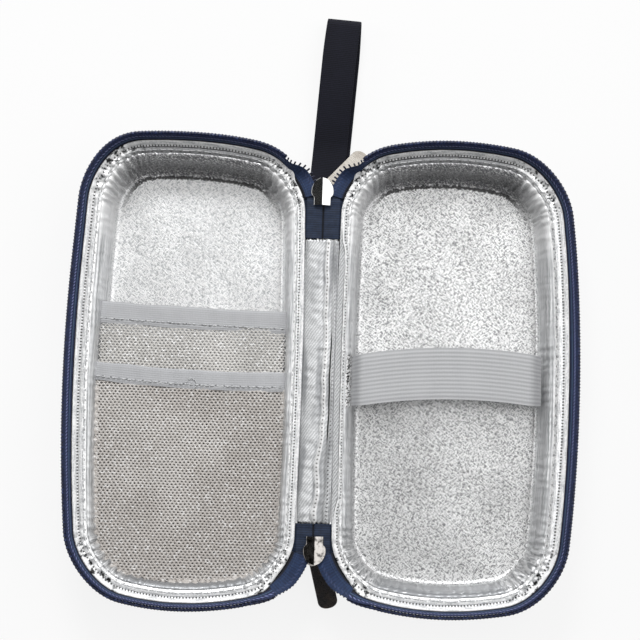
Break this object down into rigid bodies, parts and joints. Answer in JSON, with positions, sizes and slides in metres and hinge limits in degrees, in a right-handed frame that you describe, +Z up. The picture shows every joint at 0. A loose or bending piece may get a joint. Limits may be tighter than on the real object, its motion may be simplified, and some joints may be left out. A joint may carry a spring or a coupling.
{
  "type": "insulin cooling case",
  "caption": "Foil-lined insulated clamshell zip case lying open, with mesh pockets in the lid, an elastic strap in the base and a webbing wrist loop.",
  "frame": {"origin": "centre of the base tray's flat underside, with the case open flat on a table", "axes": "+X from the lid towards the base tray's outer side, +Y along the case towards the wrist loop, +Z up out of the open trays"},
  "size_m": [0.22, 0.2656, 0.029],
  "materials": {
    "outer_cloth": "navy woven polyester over moulded foam, matte",
    "insulation_foam": "closed-cell foam, matte",
    "foil_liner": "aluminised film over a fine weave, bright and crinkled",
    "foil_twill": "silver coated twill, semi-gloss",
    "zipper_tape": "navy woven zipper tape, matte",
    "zipper_coil": "navy nylon coil, satin",
    "pocket_mesh": "warm grey knitted mesh",
    "grey_binding": "grey woven binding, matte",
    "grey_elastic": "light grey ribbed elastic, matte",
    "nickel": "polished nickel plate",
    "dark_nickel": "polished dark nickel plate",
    "webbing": "near-black navy grosgrain webbing"
  },
  "bodies": {
    "base": {"base_outer_shell": "outer_cloth", "base_insulation_foam": "insulation_foam", "base_foil_liner": "foil_liner", "base_rim_binding": "foil_twill", "base_zipper_tape": "zipper_tape", "base_zipper_coil": "zipper_coil", "base_zipper_web_top": "zipper_tape", "base_zipper_web_bottom": "zipper_tape", "elastic_strap": "grey_elastic"},
    "spine": {"spine_outer_cloth": "outer_cloth", "spine_foil_lining": "foil_twill", "wrist_strap_tab": "webbing", "closed_chain_top": "zipper_tape", "closed_chain_bottom": "zipper_tape"},
    "lid": {"lid_outer_shell": "outer_cloth", "lid_insulation_foam": "insulation_foam", "lid_foil_liner": "foil_liner", "lid_rim_binding": "foil_twill", "lid_zipper_tape": "zipper_tape", "lid_zipper_coil": "zipper_coil", "lid_zipper_web_top": "zipper_tape", "lid_zipper_web_bottom": "zipper_tape", "front_pocket_mesh": "pocket_mesh", "front_pocket_binding": "grey_binding", "rear_pocket_mesh": "pocket_mesh", "rear_pocket_binding": "grey_binding"},
    "top_slider": {"top_slider_body": "nickel", "top_slider_crown": "nickel"},
    "bottom_slider": {"bottom_slider_body": "nickel", "bottom_slider_crown": "nickel"},
    "top_pull": {"top_pull_tab": "dark_nickel"},
    "bottom_pull": {"bottom_pull_tab": "dark_nickel"},
    "wrist_loop": {"wrist_strap": "webbing"}
  },
  "joints": [
    {"name": "spine_fold", "type": "hinge", "parent": "base", "child": "spine", "pos_m": [-0.0485, 0, 0.024], "axis": [0, 1, 0], "range_deg": [0, 90], "deforming": ["base_zipper_web_top", "base_zipper_web_bottom"]},
    {"name": "lid_fold", "type": "hinge", "parent": "spine", "child": "lid", "pos_m": [-0.0625, 0, 0.024], "axis": [0, 1, 0], "range_deg": [0, 90], "deforming": ["lid_zipper_web_top", "lid_zipper_web_bottom"]},
    {"name": "top_slider_travel", "type": "slide", "parent": "spine", "child": "top_slider", "axis": [0, 1, 0], "range_m": [0, 0.006]},
    {"name": "bottom_slider_travel", "type": "slide", "parent": "spine", "child": "bottom_slider", "axis": [0, -1, 0], "range_m": [0, 0.006]},
    {"name": "top_pull_swing", "type": "hinge", "parent": "top_slider", "child": "top_pull", "pos_m": [-0.0555, 0.0783, 0.01893], "axis": [0.7771, -0.6293, 0], "range_deg": [-6, 12]},
    {"name": "bottom_pull_swing", "type": "hinge", "parent": "bottom_slider", "child": "bottom_pull", "pos_m": [-0.0555, -0.0763, 0.01893], "axis": [-0.9703, -0.2419, 0], "range_deg": [-90, 30]},
    {"name": "wrist_strap_swing", "type": "hinge", "parent": "spine", "child": "wrist_loop", "pos_m": [-0.0555, 0.0615, 0.0189], "axis": [0.9976, -0.0698, 0], "range_deg": [-75, 0]}
  ],
  "couplings": [
    {"joint": "lid_fold", "follows": "spine_fold", "ratio": 1}
  ]
}
